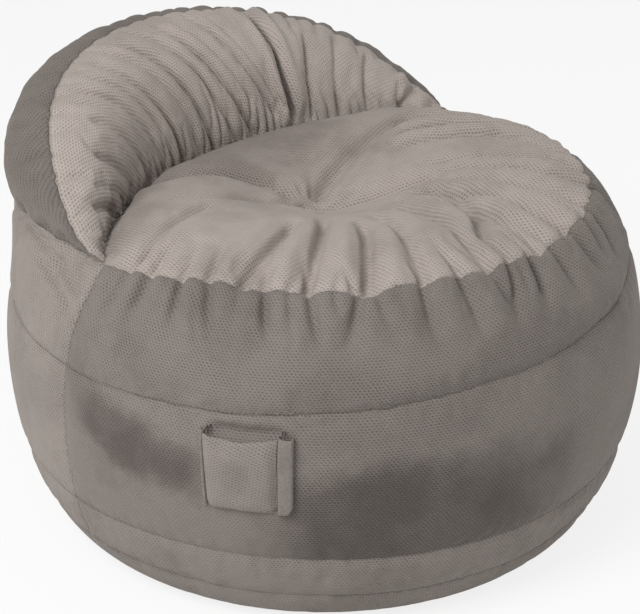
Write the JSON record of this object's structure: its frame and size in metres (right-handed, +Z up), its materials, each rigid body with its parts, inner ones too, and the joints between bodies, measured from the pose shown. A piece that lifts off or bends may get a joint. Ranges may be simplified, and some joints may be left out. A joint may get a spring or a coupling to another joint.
{
  "type": "bean bag chair",
  "caption": "Round bean bag seat with a crescent backrest bolster, a removable zipped plush cover over inner filling bags, and a patch pocket on the side.",
  "frame": {"origin": "on the floor under the middle of the seat drum", "axes": "+Z up; the sitter faces -Y, with the backrest at +Y; +X to the sitter's left as the sitter looks along -Y"},
  "size_m": [0.9119, 0.912, 0.6352],
  "materials": {
    "plush": "knitted plush with staggered dimples",
    "base_cloth": "plain woven",
    "bag_cloth": "plain woven",
    "filling": "loose foam pieces",
    "thread": "twisted thread",
    "zip_tape": "woven tape",
    "zip_coil": "moulded coil",
    "zip_metal": "satin"
  },
  "bodies": {
    "root": {"backrest_bag": "bag_cloth", "backrest_face_panel": "plush", "backrest_filling": "filling", "backrest_outer_panel": "plush", "bag_zip_coil_lower": "zip_coil", "bag_zip_coil_upper": "zip_coil", "bag_zip_stops": "zip_metal", "bag_zip_tape_lower": "zip_tape", "bag_zip_tape_upper": "zip_tape", "base_panel": "base_cloth", "chamber_divider": "bag_cloth", "cover_zip_coil_lower": "zip_coil", "cover_zip_coil_upper": "zip_coil", "cover_zip_stops": "zip_metal", "cover_zip_tape_lower": "zip_tape", "cover_zip_tape_upper": "zip_tape", "lower_band_back": "plush", "lower_band_front": "plush", "pocket_bar_tacks": "thread", "pocket_floor": "plush", "pocket_front": "plush", "pocket_gusset_front": "plush", "pocket_gusset_rear": "plush", "seat_bag_base": "bag_cloth", "seat_bag_side": "bag_cloth", "seat_bag_top": "bag_cloth", "seat_filling": "filling", "seat_panel": "plush", "side_wall_back": "plush", "side_wall_front": "plush", "upper_band_back": "plush", "upper_band_front": "plush"},
    "cover_slider": {"cover_zip_slider": "zip_metal"},
    "cover_pull": {"cover_zip_pull": "zip_metal"},
    "bag_slider": {"bag_zip_slider": "zip_metal"}
  },
  "joints": [
    {"name": "cover_zip_run", "type": "hinge", "parent": "root", "child": "cover_slider", "pos_m": [0, 0, 0.13], "axis": [0, 0, 1], "range_deg": [0, 79.41]},
    {"name": "cover_pull_swing", "type": "hinge", "parent": "cover_slider", "child": "cover_pull", "pos_m": [0.28317, 0.34095, 0.12967], "axis": [-0.1464, -0.1763, -0.9734], "range_deg": [0, 180]},
    {"name": "bag_zip_run", "type": "hinge", "parent": "root", "child": "bag_slider", "pos_m": [0, 0, 0.23], "axis": [0, 0, 1], "range_deg": [0, 71.47]}
  ]
}
